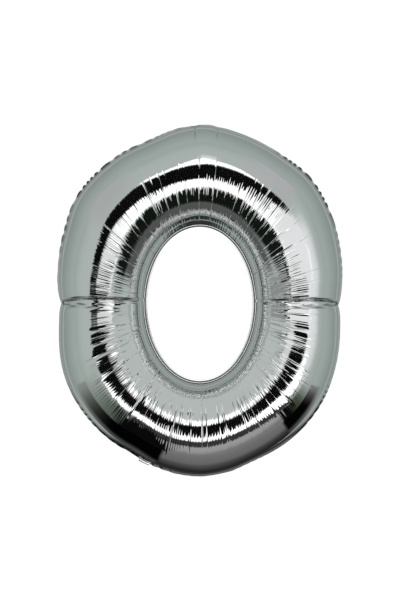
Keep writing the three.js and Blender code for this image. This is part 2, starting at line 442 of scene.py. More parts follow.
def ringMesh(name, points, across, flip=False):
    # A film closed round the ring: lines go across it. Across gives each row's place in metres
    # for the UV map, whose other axis is metres round the ring.
    order = (3, 2, 1, 0) if flip else (0, 1, 2, 3)
    faces, line, row = gridFaces(*points.shape[:2], order, closed=True)
    uv = np.stack([line * digit["aroundLength"] / len(points), across[row]], -1)
    return gridObject(name, points.reshape(-1, 3), faces, uv)


def gridObject(name, points, faces, uv):
    mesh = bpy.data.meshes.new(name)
    mesh.vertices.add(len(points))
    mesh.vertices.foreach_set("co", np.ascontiguousarray(points, np.float32).ravel())
    mesh.loops.add(faces.size)
    mesh.loops.foreach_set("vertex_index", np.ascontiguousarray(faces, np.int32).ravel())
    mesh.polygons.add(len(faces))
    mesh.polygons.foreach_set("loop_start", np.arange(0, faces.size, 4, dtype=np.int32))
    mesh.polygons.foreach_set("use_smooth", np.ones(len(faces), bool))
    layer = mesh.uv_layers.new(name="film")
    layer.data.foreach_set("uv", np.ascontiguousarray(uv, np.float32).ravel())
    mesh.update(calc_edges=True)
    mesh.validate()
    piece = bpy.data.objects.new(name, mesh)
    bpy.context.scene.collection.objects.link(piece)
    return piece


def stripMesh(name, points, across, along):
    # An open film from a grid of lines across by points along, with metres in its UV map.
    faces, line, point = gridFaces(*points.shape[:2], (0, 3, 2, 1))
    uv = np.stack([across[line], along[point]], -1)
    return gridObject(name, points.reshape(-1, 3), faces, uv)


def newMaterial(name):
    material = bpy.data.materials.new(name)
    material.use_nodes = True
    nodes = material.node_tree.nodes
    return material, nodes, material.node_tree.links, nodes["Principled BSDF"]


def plug(links, socket, value):
    # Joins another node's output to a socket, or sets a plain value on it.
    if isinstance(value, bpy.types.NodeSocket):
        links.new(value, socket)
    else:
        socket.default_value = value


def mathNode(nodes, links, operation, first, second=0.5, clamp=False):
    node = nodes.new("ShaderNodeMath")
    node.operation = operation
    node.use_clamp = clamp
    plug(links, node.inputs[0], first)
    plug(links, node.inputs[1], second)
    return node.outputs[0]


def noiseNode(nodes, links, vector, scale, detail):
    node = nodes.new("ShaderNodeTexNoise")
    node.inputs["Scale"].default_value = scale
    node.inputs["Detail"].default_value = detail
    links.new(vector, node.inputs["Vector"])
    return node.outputs[0]


def colourMix(nodes, links, factor, first, second):
    node = nodes.new("ShaderNodeMix")
    node.data_type = "RGBA"
    for label, value in (("Factor", factor), ("A", first), ("B", second)):
        plug(links, node.inputs[label], value)
    return node.outputs["Result"]


def named(nodes, name):
    # The value of a vertex attribute.
    node = nodes.new("ShaderNodeAttribute")
    node.attribute_name = name
    return node.outputs


def newGroup(name, inputs, outputs):
    group = bpy.data.node_groups.new(name, "ShaderNodeTree")
    for label, kind, value in inputs:
        socket = group.interface.new_socket(label, in_out="INPUT", socket_type=kind)
        if value is not None:
            socket.default_value = value
    for label, kind in outputs:
        group.interface.new_socket(label, in_out="OUTPUT", socket_type=kind)
    return group, group.nodes.new("NodeGroupInput"), group.nodes.new("NodeGroupOutput")


def filmCrinkleGroup():
    # Faint handling marks of thin film: stretched soft noise and a few fine crackle lines.
    group, given, result = newGroup("filmCrinkle", [
        ("Vector", "NodeSocketVector", None), ("Stretch", "NodeSocketFloat", 0.35),
        ("Crackle", "NodeSocketFloat", 0.3)], [("Height", "NodeSocketFloat")])
    nodes, links = group.nodes, group.links
    across = nodes.new("ShaderNodeCombineXYZ")
    across.inputs[0].default_value = across.inputs[2].default_value = 1
    links.new(given.outputs["Stretch"], across.inputs[1])
    scaled = nodes.new("ShaderNodeVectorMath")
    scaled.operation = "MULTIPLY"
    links.new(given.outputs["Vector"], scaled.inputs[0])
    links.new(across.outputs[0], scaled.inputs[1])
    noise = noiseNode(nodes, links, scaled.outputs[0], 70, 3)
    cells = nodes.new("ShaderNodeTexVoronoi")
    cells.feature = "DISTANCE_TO_EDGE"
    cells.inputs["Scale"].default_value = 38
    links.new(given.outputs["Vector"], cells.inputs["Vector"])
    line = mathNode(nodes, links, "MULTIPLY", cells.outputs["Distance"], 9, clamp=True)
    crackle = mathNode(nodes, links, "MULTIPLY", line, given.outputs["Crackle"])
    links.new(mathNode(nodes, links, "ADD", noise, crackle), result.inputs["Height"])
    return group


def filmToneGroup():
    # Slow drift of the metal layer's tone, with the roughness that goes with it.
    group, given, result = newGroup("filmTone", [
        ("Vector", "NodeSocketVector", None), ("Light", "NodeSocketColor", (0.95, 0.96, 0.955, 1)),
        ("Dark", "NodeSocketColor", (0.9, 0.92, 0.91, 1)), ("Smooth", "NodeSocketFloat", 0.04),
        ("Hazy", "NodeSocketFloat", 0.1)],
        [("Color", "NodeSocketColor"), ("Roughness", "NodeSocketFloat")])
    nodes, links = group.nodes, group.links
    spread, haze = nodes.new("ShaderNodeMapRange"), nodes.new("ShaderNodeMapRange")
    spread.inputs["From Min"].default_value = 0.35
    spread.inputs["From Max"].default_value = 0.65
    links.new(noiseNode(nodes, links, given.outputs["Vector"], 9, 5), spread.inputs["Value"])
    tone = colourMix(nodes, links, spread.outputs[0], given.outputs["Light"], given.outputs["Dark"])
    links.new(tone, result.inputs["Color"])
    links.new(spread.outputs[0], haze.inputs["Value"])
    links.new(given.outputs["Smooth"], haze.inputs["To Min"])
    links.new(given.outputs["Hazy"], haze.inputs["To Max"])
    links.new(haze.outputs[0], result.inputs["Roughness"])
    return group


def embossGroup():
    # Diamond knurl that a heat sealer's jaw presses into the weld.
    group, given, result = newGroup("sealEmboss", [
        ("Vector", "NodeSocketVector", None), ("Pitch", "NodeSocketFloat", 0.0011)],
        [("Height", "NodeSocketFloat")])
    nodes, links = group.nodes, group.links
    parts = nodes.new("ShaderNodeSeparateXYZ")
    links.new(given.outputs["Vector"], parts.inputs[0])
    waves = []
    for operation in ("ADD", "SUBTRACT"):
        slanted = mathNode(nodes, links, operation, parts.outputs[0], parts.outputs[1])
        turns = mathNode(nodes, links, "DIVIDE", slanted, given.outputs["Pitch"])
        turns = mathNode(nodes, links, "MULTIPLY", turns, 2 * math.pi)
        waves.append(mathNode(nodes, links, "SINE", turns))
    links.new(mathNode(nodes, links, "MULTIPLY", *waves), result.inputs["Height"])
    return group


def placeGroup(nodes, links, group, vector, **values):
    node = nodes.new("ShaderNodeGroup")
    node.node_tree = group
    links.new(vector, node.inputs["Vector"])
    for label, value in values.items():
        node.inputs[label].default_value = value
    return node


def bump(nodes, links, height, distance, normal=None):
    node = nodes.new("ShaderNodeBump")
    node.inputs["Distance"].default_value = distance
    node.inputs["Strength"].default_value = 1
    links.new(height, node.inputs["Height"])
    if normal is not None:
        links.new(normal, node.inputs["Normal"])
    return node.outputs[0]


def filmSurface(name, groups, light, dark, haze, metallic=0):
    # A material read along a film's UV map, its tone and roughness drifting between two values.
    material, nodes, links, shader = newMaterial(name)
    uv = nodes.new("ShaderNodeUVMap")
    uv.uv_map = "film"
    shader.inputs["Metallic"].default_value = metallic
    tone = placeGroup(nodes, links, groups["tone"], uv.outputs[0], Light=light, Dark=dark,
                      Smooth=haze[0], Hazy=haze[1])
    links.new(tone.outputs["Color"], shader.inputs["Base Color"])
    links.new(tone.outputs["Roughness"], shader.inputs["Roughness"])
    return material, nodes, links, shader, uv.outputs[0], tone


foilLook = {
    "light": (0.955, 0.965, 0.96, 1), "dark": (0.915, 0.93, 0.925, 1),
    # colour of the painted shade in creases, rim folds and on lobe crests
    "paintedShade": (0.02, 0.022, 0.022, 1),
    "haze": (0.03, 0.06),         # roughness where the film is light and where it is dark
    "crinkleHeight": 0.00004,
    "rimRoughness": 0.06,         # added on the rims
    "rimEmboss": 0.00001,
}
filmLook = {
    "colour": (0.86, 0.88, 0.88, 1), "alpha": 0.55,
    "weldColour": (0.78, 0.80, 0.80, 1), "weldAlpha": 0.8,
    "haze": (0.2, 0.4), "crinkleHeight": 0.0002,
}
weldLook = {"light": (0.80, 0.81, 0.81, 1), "dark": (0.66, 0.68, 0.68, 1), "haze": (0.22, 0.38),
            "emboss": 0.00008}
coatLook = {"light": (0.86, 0.86, 0.84, 1), "dark": (0.74, 0.75, 0.73, 1), "haze": (0.55, 0.75),
            "dotPitch": 0.0008, "dotContrast": 0.25, "cover": 0.72, "crinkleHeight": 0.0001}


def foilMaterial(name, groups, rims=()):
    # Mirror foil. Rims are two places in metres across the sheet: before the first and past the
    # second it is embossed and duller. Such a sheet is also darkened by painted shade along its
    # creases, rim folds and lobe crests.
    material, nodes, links, shader, uv, tone = filmSurface(
        name, groups, foilLook["light"], foilLook["dark"], foilLook["haze"], metallic=1)
    crinkle = placeGroup(nodes, links, groups["crinkle"], uv)
    normal = bump(nodes, links, crinkle.outputs["Height"], foilLook["crinkleHeight"])
    if rims:
        # Painted shade: the foil goes towards near black along creases, rim folds and lobe crests.
        colour = colourMix(nodes, links, named(nodes, "paintedShadeMark")["Fac"],
                           tone.outputs["Color"], foilLook["paintedShade"])
        parts = nodes.new("ShaderNodeSeparateXYZ")
        links.new(uv, parts.inputs[0])
        below = mathNode(nodes, links, "LESS_THAN", parts.outputs[1], rims[0])
        above = mathNode(nodes, links, "GREATER_THAN", parts.outputs[1], rims[1])
        mask = mathNode(nodes, links, "ADD", below, above, clamp=True)
        emboss = placeGroup(nodes, links, groups["emboss"], uv)
        pressed = mathNode(nodes, links, "MULTIPLY", emboss.outputs["Height"], mask)
        normal = bump(nodes, links, pressed, foilLook["rimEmboss"], normal)
        dull = mathNode(nodes, links, "MULTIPLY", mask, foilLook["rimRoughness"])
        roughness = mathNode(nodes, links, "ADD", tone.outputs["Roughness"], dull)
        links.new(colour, shader.inputs["Base Color"])
        links.new(roughness, shader.inputs["Roughness"])
    links.new(normal, shader.inputs["Normal"])
    return material


def filmMaterial(name, groups, colour, alpha):
    # Clear limp polyethylene, one even alpha with cloudy patches in its tone.
    darker = tuple(0.9 * part for part in colour[:3]) + (1,)
    material, nodes, links, shader, uv, tone = filmSurface(
        name, groups, colour, darker, filmLook["haze"])
    crinkle = placeGroup(nodes, links, groups["crinkle"], uv, Stretch=1.0)
    normal = bump(nodes, links, crinkle.outputs["Height"], filmLook["crinkleHeight"])
    links.new(normal, shader.inputs["Normal"])
    shader.inputs["Alpha"].default_value = alpha
    return material


def weldMaterial(name, groups):
    # Two foils melted together: duller than the foil, with the knurl pressed in.
    material, nodes, links, shader, uv, tone = filmSurface(
        name, groups, weldLook["light"], weldLook["dark"], weldLook["haze"], metallic=1)
    emboss = placeGroup(nodes, links, groups["emboss"], uv)
    links.new(bump(nodes, links, emboss.outputs["Height"], weldLook["emboss"]), shader.inputs["Normal"])
    return material


def coatMaterial(name, groups):
    # Matt white release ink, printed as a fine screen of dots that lets a little film show.
    material, nodes, links, shader, uv, tone = filmSurface(
        name, groups, coatLook["light"], coatLook["dark"], coatLook["haze"])
    emboss = placeGroup(nodes, links, groups["emboss"], uv, Pitch=coatLook["dotPitch"])
    dots = mathNode(nodes, links, "MULTIPLY", emboss.outputs["Height"], coatLook["dotContrast"])
    cover = mathNode(nodes, links, "ADD", dots, coatLook["cover"], clamp=True)
    links.new(cover, shader.inputs["Alpha"])
    crinkle = placeGroup(nodes, links, groups["crinkle"], uv, Stretch=1.0)
    normal = bump(nodes, links, crinkle.outputs["Height"], coatLook["crinkleHeight"])
    links.new(normal, shader.inputs["Normal"])
    return material


def finishPiece(piece, material, slotName, body, *nodes):
    piece.data.materials.append(material)
    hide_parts(*nodes)
    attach(piece, body)
    return piece


def makePanels(groups):
    for side, name, node, seed in ((1, "frontPanelFoil", "front_panel", 5),
                                   (-1, "backPanelFoil", "back_panel", 67)):
        points, tubeTurn, beyond, paintedDarkness = panelPoints(side, seed)
        arc = panel["arcRadius"] * np.radians(tubeTurn) + beyond
        piece = ringMesh(name, points, arc[0], flip=side > 0)
        # Painted shade of creases, rim folds and lobe crests, stored on each point for the foil's
        # colour.
        marks = piece.data.attributes.new("paintedShadeMark", "FLOAT", "POINT")
        marks.data.foreach_set("value", paintedDarkness.astype(np.float32).ravel())
        material = foilMaterial(name, groups, rims=(0.0, panel["arcRadius"] * math.pi))
        finishPiece(piece, material, "foil", balloonBody, node)
        print("panel", name, len(piece.data.polygons), "faces")


def thicken(piece, thickness):
    # Gives a film its thickness, half to each side.
    solid = piece.modifiers.new("thickness", "SOLIDIFY")
    solid.thickness = thickness
    solid.offset = 0
    with bpy.context.temp_override(object=piece, active_object=piece):
        bpy.ops.object.modifier_apply(modifier=solid.name)
    return piece


seals = {
    "thickness": 0.0003,
    "outerStart": 0.0026,         # outer seal's inner edge, metres past the weld line
    "edge": 0.0002,               # both seals stop this short of the rim's edge
    "innerStop": 0.0004,          # and the inner one this short of its weld line
    "rows": 5,
    "outerSteps": 1440, "innerSteps": 720,
    "valveGap": 1.75,             # degrees left open each side of the valve
    "metresPerDegree": 0.0068,    # for the outer seal's UV map
    "uvStart": 0.01,
}


def makeSeals(groups):
    # Heat seals between the films: an outer ring left open at the valve and an inner ring.
    material = weldMaterial("heatSeal", groups)
    edge, gap = digit["rimWidth"] - seals["edge"], seals["valveGap"]
    rows = np.linspace(seals["outerStart"], edge, seals["rows"]).reshape(-1, 1)
    start = digit["valveAngle"] + gap
    degrees = np.linspace(start, start + 360 - 2 * gap, seals["outerSteps"]).reshape(1, -1)
    along = tubeWidth(degrees) + scallopAt(degrees) + rows
    points = ringSurface(degrees, along, 0, rimShift(degrees, rows))
    around = degrees.ravel() * seals["metresPerDegree"]
    piece = stripMesh("outerHeatSeal", points, rows.ravel(), around)
    finishPiece(thicken(piece, seals["thickness"]), material, "weld", balloonBody, "outer_heat_seal")
    rows = np.linspace(-edge, -seals["innerStop"], seals["rows"]).reshape(1, -1)
    degrees = np.linspace(0, 360, seals["innerSteps"] + 1)[:-1].reshape(-1, 1)
    points = ringSurface(degrees, rows + 0 * degrees, 0)
    piece = ringMesh("innerHeatSeal", points, rows.ravel() + seals["uvStart"])
    finishPiece(thicken(piece, seals["thickness"]), material, "weld", balloonBody, "inner_heat_seal")
    print("heat seals")


valve = {
    "halfWidth": 0.011, "reach": 0.150, "thickness": 0.00005,
    "filmGap": 0.00012,           # each film from the middle, and more at the mouth inside
    "mouthGap": 0.0006,
    "weldWidth": 0.0022,
    "coatHalfWidth": 0.008, "coatReach": 0.060, "coatLayer": 0.3,
    "start": 0.0003,              # metres in from the rim's edge
    "wave": 0.0040, "ruffle": 0.0012,
}


def valvePoints(across, inward, layer):
    # A strip that runs in from the rim's edge at the valve: across and inward are metres, and
    # layer is -1 to 1 from the back film to the front one. Inside the tube it waves softly.
    base = rimPoint(digit["valveAngle"]) - inward[..., None] * tailOutward
    base[..., 1] = rimShift(np.array([digit["valveAngle"]]), digit["rimWidth"] - inward)
    loose = smooth(0.008, 0.05, inward)
    gap = valve["filmGap"] + valve["mouthGap"] * loose * (1 - (across / valve["halfWidth"]) ** 2)
    wave = valve["wave"] * np.sin(inward * 42)
    wave = loose * (wave + valve["ruffle"] * np.sin(across * 260 + inward * 30))
    points = base + across[..., None] * tailAcross
    points[..., 1] = points[..., 1] - layer * gap + wave
    return points


def valveStrip(name, low, high, reach, layer, columns, material, slotName, node):
    across = np.linspace(low, high, columns).reshape(-1, 1)
    inward = np.linspace(valve["start"], reach, 90).reshape(1, -1)
    points = valvePoints(*np.broadcast_arrays(across, inward), layer)
    piece = stripMesh(name, points, across.ravel(), inward.ravel())
    finishPiece(thicken(piece, valve["thickness"]), material, slotName, balloonBody, node)


def makeValve(groups):
    film = filmMaterial("valveFilm", groups, filmLook["colour"], filmLook["alpha"])
    weld = filmMaterial("valveWeld", groups, filmLook["weldColour"], filmLook["weldAlpha"])
    coat = coatMaterial("releaseCoat", groups)
    half, coatHalf = valve["halfWidth"], valve["coatHalfWidth"]
    inner = half - valve["weldWidth"]
    reach = valve["reach"] + digit["rimWidth"]
    valveStrip("valveFilmFront", -half, half, reach, 1, 15, film, "valve_film", "valve_film_front")
    valveStrip("valveFilmBack", -half, half, reach, -1, 15, film, "valve_film", "valve_film_back")
    valveStrip("valveWeldLeft", -half, -inner, reach, 0, 5, weld, "weld", "valve_side_weld_left")
    valveStrip("valveWeldRight", inner, half, reach, 0, 5, weld, "weld", "valve_side_weld_right")
    valveStrip("valveReleaseCoat", -coatHalf, coatHalf, valve["coatReach"], valve["coatLayer"], 13,
               coat, "coating", "valve_release_coating")
    print("valve")


tail = {
    "halfWidth": 0.014, "length": 0.0765, "thickness": 0.00006,
    "bend": 0.0015,               # radius of the fold at the hinge
    "blendBack": 0.0045,          # where the fold is over, metres back from the hinge
    "foilGap": 0.0009,            # each foil from the middle
    "filmGap": 0.00035, "filmHalfWidth": 0.011, "filmLength": 0.060,
    "sealWidth": 0.0027, "sealStart": 0.0004,
    "curl": 0.0035, "cup": 0.0022,
}


def tailPoints(across, out, layer, rootGap, gap):
    # The tail leaves the rim's edge, turns a quarter circle at the hinge and runs back. Out is
    # metres along that path from the rim, and layer -1 to 1 from the back foil to the front.
    centre = rimPoint(digit["valveAngle"]).reshape(3)
    radius = math.hypot(centre[0] - middleX, centre[2] - middleZ)
    root = rimPoint(digit["valveAngle"] + np.degrees(across / radius))
    back = np.array([0.0, 1.0, 0.0])
    lead = np.dot(foldPoint - centre, tailOutward) - tail["bend"]
    bend = np.clip((out - lead) / tail["bend"], 0, math.pi / 2)
    straight = np.maximum(out - lead - tail["bend"] * math.pi / 2, 0)
    alongOut = np.minimum(out, lead) + tail["bend"] * np.sin(bend)
    alongBack = tail["bend"] * (1 - np.cos(bend)) + straight
    share, side = out / tail["length"], across / tail["halfWidth"]
    curl = np.sin(2.6 * share) * share + 0.25 * np.sin(across * 150 + 9 * share) * share
    curl = tail["curl"] * curl + tail["cup"] * side ** 2 * share ** 2
    apart = rootGap + (gap - rootGap) * smooth(0.001, 0.007, out) * (1 - side ** 8)
    settle = smooth(0, 0.004, out)[..., None]
    base = root * (1 - settle) + (centre + across[..., None] * tailAcross) * settle
    base[..., 1] = root[..., 1] * (1 - settle[..., 0])
    points = base + alongOut[..., None] * tailOutward + alongBack[..., None] * back
    normal = np.sin(bend)[..., None] * tailOutward - np.cos(bend)[..., None] * back
    return points + (layer * apart + curl)[..., None] * normal


def rimPoint(degrees):
    # A point on the rim's outer edge, in its mid surface.
    degrees = np.asarray(degrees, float)
    along = tubeWidth(degrees) + scallopAt(degrees) + digit["rimWidth"]
    return ringSurface(degrees, along, 0, rimShift(degrees, digit["rimWidth"] + 0 * degrees))


def tailStrip(name, low, high, start, end, layer, gaps, columns, material, node):
    across = np.linspace(low, high, columns).reshape(-1, 1)
    out = start + (end - start) * np.linspace(0, 1, 100).reshape(1, -1) ** 1.6
    points = tailPoints(*np.broadcast_arrays(across, out), layer, *gaps)
    piece = stripMesh(name, points, across.ravel(), out.ravel())
    thicken(piece, tail["thickness"])
    piece.data.materials.append(material)
    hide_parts(node)
    root = rimPoint(digit["valveAngle"]).reshape(3)
    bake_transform(piece)


def makeTail(groups):
    foil = foilMaterial("tailFoil", groups)
    weld = weldMaterial("tailSeal", groups)
    film = filmMaterial("tailValveFilm", groups, filmLook["colour"], filmLook["alpha"])
    half, length = tail["halfWidth"], tail["length"]
    gaps = (digit["filmGap"], tail["foilGap"])
    tailStrip("tailFoilFront", -half, half, 0, length, 1, gaps, 21, foil, "tail_foil_front")
    tailStrip("tailFoilBack", -half, half, 0, length, -1, gaps, 21, foil, "tail_foil_back")
    wide, end = tail["filmHalfWidth"], tail["filmLength"]
    gaps = (valve["filmGap"], tail["filmGap"])
    tailStrip("tailFilmFront", -wide, wide, 0, end, 1, gaps, 15, film,
              "tail_valve_film_front")
    tailStrip("tailFilmBack", -wide, wide, 0, end, -1, gaps, 15, film,
              "tail_valve_film_back")
    inner, start, gaps = half - tail["sealWidth"], tail["sealStart"], (0, 0)
    tailStrip("tailSealLeft", -half, -inner, start, length, 0, gaps, 5, weld,
              "tail_side_seal_left")
    tailStrip("tailSealRight", inner, half, start, length, 0, gaps, 5, weld,
              "tail_side_seal_right")
    print("tail")


view = {"lens": 77.6, "distance": 3.2, "right": 0.0017, "up": 0.0006}


def studioCamera():
    camera = bpy.data.objects.new("camera", bpy.data.cameras.new("camera"))
    bpy.context.scene.collection.objects.link(camera)
    camera.data.sensor_width = 36
    camera.data.lens = view["lens"]
    camera.location = (middleX + view["right"], -view["distance"], middleZ + view["up"])
    camera.rotation_euler = (math.pi / 2, 0, 0)
    bpy.context.scene.camera = camera


studio = {
    "front": 0.35,          # distance of the reflector from the digit's mid plane
    "sleeveWidth": 0.136,   # half width and half height of the reflector's centre sleeve
    "sleeveHeight": 0.193,
    "sleeveEnd": 0.086,     # where the sleeve stops short of the digit
    "reach": 1.3,           # how far the reflector spreads beyond the sleeve
    "edgeFade": 0.25,
    "nearTone": (0.42, 0.465, 0.445), "farTone": (0.34, 0.385, 0.365),
}

# The reflector is painted in bands, a later one over an earlier one. Each has a colour, a soft
# edge in metres, a fade in degrees at its two ends, and stops: angle round the digit, then its
# inner and outer edge as metres out from the sleeve (below zero is along the sleeve, back
# towards the digit).
white, black = (1.5, 1.5, 1.5), (0.003, 0.003, 0.003)
reflectorBands = {
    "spillRight": ((0.74, 0.75, 0.77), 0.14, 16, [
        (-42, 0.22, 0.44), (0, 0.22, 0.50), (40, 0.22, 0.44)]),
    "lilacRight": ((0.43, 0.43, 0.44), 0.16, 18, [(38, 0.30, 2), (75, 0.30, 2)]),
    "lilacLeft": ((0.40, 0.41, 0.41), 0.16, 20, [(112, 0.30, 2), (160, 0.30, 2)]),
    "shadeLeft": ((0.10, 0.12, 0.10), 0.09, 26, [(202, 0.32, 2), (245, 0.32, 2), (272, 0.32, 2)]),
    "darkLeft": (black, 0.03, 10, [(226, 0.33, 2), (240, 0.28, 2), (253, 0.28, 2), (268, 0.28, 2)]),
    "shadeRight": ((0.05, 0.06, 0.04), 0.05, 14, [(286, 0.40, 2), (312, 0.42, 2), (334, 0.48, 2)]),
    "darkRight": (black, 0.03, 8, [(290, 0.40, 2), (312, 0.42, 2), (321, 0.45, 2)]),
    "floorGrey": ((0.33, 0.33, 0.325), 0.02, 1.5, [
        (252.5, 0.38, 2), (270, 0.38, 2), (303, 0.38, 2), (309, 0.50, 2)]),
    "floorDeep": ((0.18, 0.18, 0.178), 0.14, 1.5, [(252.5, 0.60, 2), (309, 0.60, 2)]),
    "darkUnder": ((0.035, 0.035, 0.035), 0.015, 6, [
        (235, 0.27, 0.32), (255, 0.27, 0.39), (290, 0.27, 0.39), (325, 0.36, 0.44)]),
    "crescent": (white, 0.008, 6, [
        (214, 0.24, 0.29), (235, 0.225, 0.295), (250, 0.205, 0.28), (270, 0.215, 0.275),
        (290, 0.205, 0.27), (303, 0.21, 0.29), (315, 0.22, 0.37), (330, 0.26, 0.36),
        (345, 0.27, 0.32)]),
    "whiteRing": (white, 0.02, 1, [
        (0, -0.02, 0.32), (15, -0.02, 0.34), (30, 0.00, 0.27), (60, -0.02, 0.20), (90, -0.05, 0.15),
        (120, -0.07, 0.15), (150, -0.10, 0.20), (180, -0.08, 0.22), (200, 0.0, 0.15),
        (270, -0.01, 0.12), (340, 0.0, 0.12), (352, -0.01, 0.2), (360, -0.02, 0.32)]),
    "dimRingLeft": ((0.72, 0.73, 0.73), 0.02, 20, [
        (125, -0.10, 0.2), (180, -0.08, 0.22), (225, -0.02, 0.15)]),
    "dimRingRight": ((0.78, 0.78, 0.79), 0.03, 20, [
        (-32, -0.02, 0.30), (0, -0.02, 0.32), (15, -0.02, 0.34), (35, 0.0, 0.30), (68, 0.0, 0.2)]),
    "dimLowLeft": ((0.56, 0.57, 0.56), 0.02, 14, [(184, -0.02, 0.13), (250, -0.01, 0.12)]),
    "dimLowRight": ((0.60, 0.61, 0.60), 0.02, 14, [(294, -0.01, 0.12), (356, -0.02, 0.13)]),
    "blackUpper": (black, 0.010, 15, [
        (34, 0.265, 0.295), (60, 0.18, 0.29), (68, 0.10, 0.27), (78, 0.075, 0.245), (90, 0.06, 0.235),
        (100, 0.065, 0.24), (110, 0.09, 0.25), (120, 0.11, 0.265), (130, 0.125, 0.265),
        (140, 0.14, 0.265), (150, 0.155, 0.265), (160, 0.16, 0.265), (170, 0.165, 0.265),
        (183, 0.17, 0.265), (191, 0.16, 0.265)]),
    "blackLower": (black, 0.010, 3, [
        (182, 0.12, 0.27), (187, -0.03, 0.285), (200, -0.03, 0.295), (208, 0.02, 0.29),
        (216, 0.09, 0.27), (230, 0.10, 0.215), (245, 0.085, 0.195), (260, 0.068, 0.208),
        (270, 0.06, 0.22), (290, 0.062, 0.208), (300, 0.07, 0.20), (310, 0.07, 0.21),
        (320, 0.06, 0.23), (330, 0.06, 0.26), (345, 0.08, 0.27), (357, 0.10, 0.26)]),
    "topGlow": ((0.72, 0.72, 0.72), 0.05, 2.5, [(76, 0.28, 0.37), (93, 0.28, 0.37)]),
    "topPatch": (white, 0.012, 5, [
        (62, 0.28, 0.29), (74, 0.265, 0.31), (90, 0.235, 0.32), (98, 0.24, 0.31), (106, 0.25, 0.28),
        (116, 0.26, 0.28)]),
    "darkSleeve": ((0.006, 0.008, 0.006), 0.016, 10, [
        (-14, -0.07, -0.02), (12, -0.09, 0.0), (25, -0.19, 0.0), (40, -0.23, 0.0), (60, -0.24, -0.03),
        (90, -0.24, -0.08), (120, -0.24, -0.10), (150, -0.24, -0.13), (175, -0.22, -0.15)]),
    "greySleeve": ((0.085, 0.085, 0.085), 0.010, 14, [
        (20, -0.3, -0.235), (60, -0.3, -0.235), (90, -0.3, -0.23), (170, -0.3, -0.23)]),
    "sideSleeve": ((0.26, 0.27, 0.265), 0.012, 10, [
        (-20, -0.3, -0.085), (12, -0.3, -0.085), (24, -0.3, -0.12)]),
    "paleSleeve": ((0.47, 0.50, 0.485), 0.02, 10, [
        (184, -0.3, 0.0), (215, -0.3, 0.01), (270, -0.3, 0.0), (325, -0.3, 0.01), (352, -0.3, 0.0)]),
}


def endFade(angle, start, end, fade):
    return smooth(start, start + fade, angle) * smooth(end, end - fade, angle)


def paintBand(colours, degrees, out, band):
    # Mixes the band's colour in between its edges, which follow the angle by straight steps.
    colour, soft, fade, stops = band
    angles, low, high = np.array(stops, float).T
    angle = (degrees - angles[0]) % 360 + angles[0]
    low, high = np.interp(angle, angles, low), np.interp(angle, angles, high)
    share = smooth(low - soft, low + soft, out) * smooth(high + soft, high - soft, out)
    if angles[-1] - angles[0] < 359:
        share = share * endFade(angle, angles[0], angles[-1], fade)
    return colours + (np.array(colour) - colours) * share[..., None]


def makeReflector():
    # A flat sheet in front of the digit with an oval sleeve pointing back at its hole. Only
    # mirror reflections see it. Grid: angle round the digit by metres out from the sleeve.
    degrees = np.arange(0, 361, 0.75).reshape(-1, 1)
    along = np.concatenate([np.linspace(studio["sleeveEnd"] - studio["front"], 0, 46)[:-1],
                            np.linspace(0, 0.46, 93)[:-1], np.linspace(0.46, studio["reach"], 40)])
    degrees, along = np.broadcast_arrays(degrees, along.reshape(1, -1))
    turn = np.radians(degrees)
    radius = ovalRadius(degrees, studio["sleeveWidth"], studio["sleeveHeight"]) + np.maximum(along, 0)
    x, z = middleX + radius * np.cos(turn), middleZ - digit["holeDrop"] + radius * np.sin(turn)
    points = np.stack([x, -studio["front"] - np.minimum(along, 0), z], -1)
    near, far = np.array(studio["nearTone"]), np.array(studio["farTone"])
    colours = near + (far - near) * smooth(0.3, 1.1, along)[..., None]
    for band in reflectorBands.values():
        colours = paintBand(colours, degrees, along, band)
    fade = smooth(studio["reach"], studio["reach"] - studio["edgeFade"], along)
    glowMesh("reflector", points, gridFaces(*degrees.shape)[0], fade, colours.reshape(-1, 3))


def sheetMesh(name, points, faces, colours):
    # A scene sheet with a colour, called paint, at each point.
    mesh = bpy.data.meshes.new(name)
    mesh.from_pydata(points.reshape(-1, 3), [], faces.tolist())
    paint = np.ones((len(mesh.vertices), 4), np.float32)
    paint[:, :3] = colours
    mesh.attributes.new("paint", "FLOAT_COLOR", "POINT").data.foreach_set("color", paint.ravel())
    sheet = bpy.data.objects.new(name, mesh)
    bpy.context.scene.collection.objects.link(sheet)
    return sheet


def glowMesh(name, points, faces, glow, colours):
    # A sheet of light that only reflections see: a colour and a strength at each point.
    sheet = sheetMesh(name, points, faces, colours)
    strength = sheet.data.attributes.new("glow", "FLOAT", "POINT")
    strength.data.foreach_set("value", np.array(glow, np.float32).ravel())
    material = bpy.data.materials.new(name)
    material.use_nodes = True
    nodes, links = material.node_tree.nodes, material.node_tree.links
    nodes.clear()
    result = nodes.new("ShaderNodeOutputMaterial")
    emission = nodes.new("ShaderNodeEmission")
    clear = nodes.new("ShaderNodeBsdfTransparent")
    links.new(named(nodes, "paint")["Color"], emission.inputs["Color"])
    facing = nodes.new("ShaderNodeNewGeometry")
    front = mathNode(nodes, links, "SUBTRACT", 1.0, facing.outputs["Backfacing"])
    mix = nodes.new("ShaderNodeMixShader")
    links.new(mathNode(nodes, links, "MULTIPLY", front, named(nodes, "glow")["Fac"]), mix.inputs[0])
    links.new(clear.outputs[0], mix.inputs[1])
    links.new(emission.outputs[0], mix.inputs[2])
    links.new(mix.outputs[0], result.inputs[0])
    material.cycles.emission_sampling = "NONE"
    sheet.data.materials.append(material)
    sheet.visible_camera = sheet.visible_diffuse = sheet.visible_shadow = False
    sheet.visible_transmission = sheet.visible_volume_scatter = False


